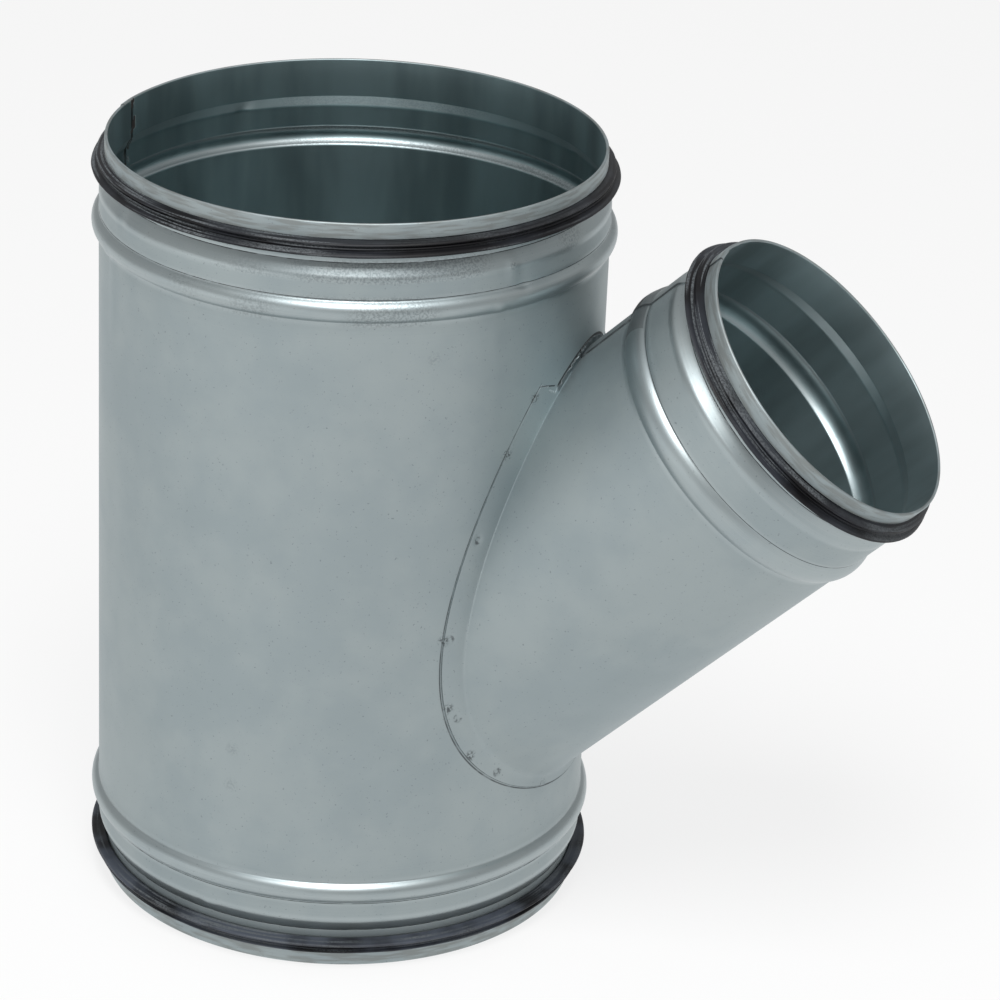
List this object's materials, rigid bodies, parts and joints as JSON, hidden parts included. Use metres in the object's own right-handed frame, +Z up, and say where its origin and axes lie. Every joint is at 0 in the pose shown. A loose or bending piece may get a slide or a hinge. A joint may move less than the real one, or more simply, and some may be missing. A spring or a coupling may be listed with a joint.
{
  "type": "oblique duct tee",
  "caption": "Oblique branch tee for round ventilation duct in galvanised sheet, with lip-sealed push-in spigots and stop beads, and a smaller slanted branch saddled onto the main tube.",
  "frame": {"origin": "centre of the main tube's lower rim, on the surface that the tee stands on", "axes": "+Z up along the main tube's axis; the branch leans from it toward +X"},
  "size_m": [0.4288, 0.2572, 0.3923],
  "materials": {
    "galvanised_sheet": "hot-dip galvanised, satin, with a fine soft spangle",
    "seal_rubber": "matt EPDM, dusty"
  },
  "bodies": {
    "root": {"main_tube": "galvanised_sheet", "branch_tube": "galvanised_sheet", "top_seal": "seal_rubber", "bottom_seal": "seal_rubber", "branch_seal": "seal_rubber"}
  },
  "joints": []
}
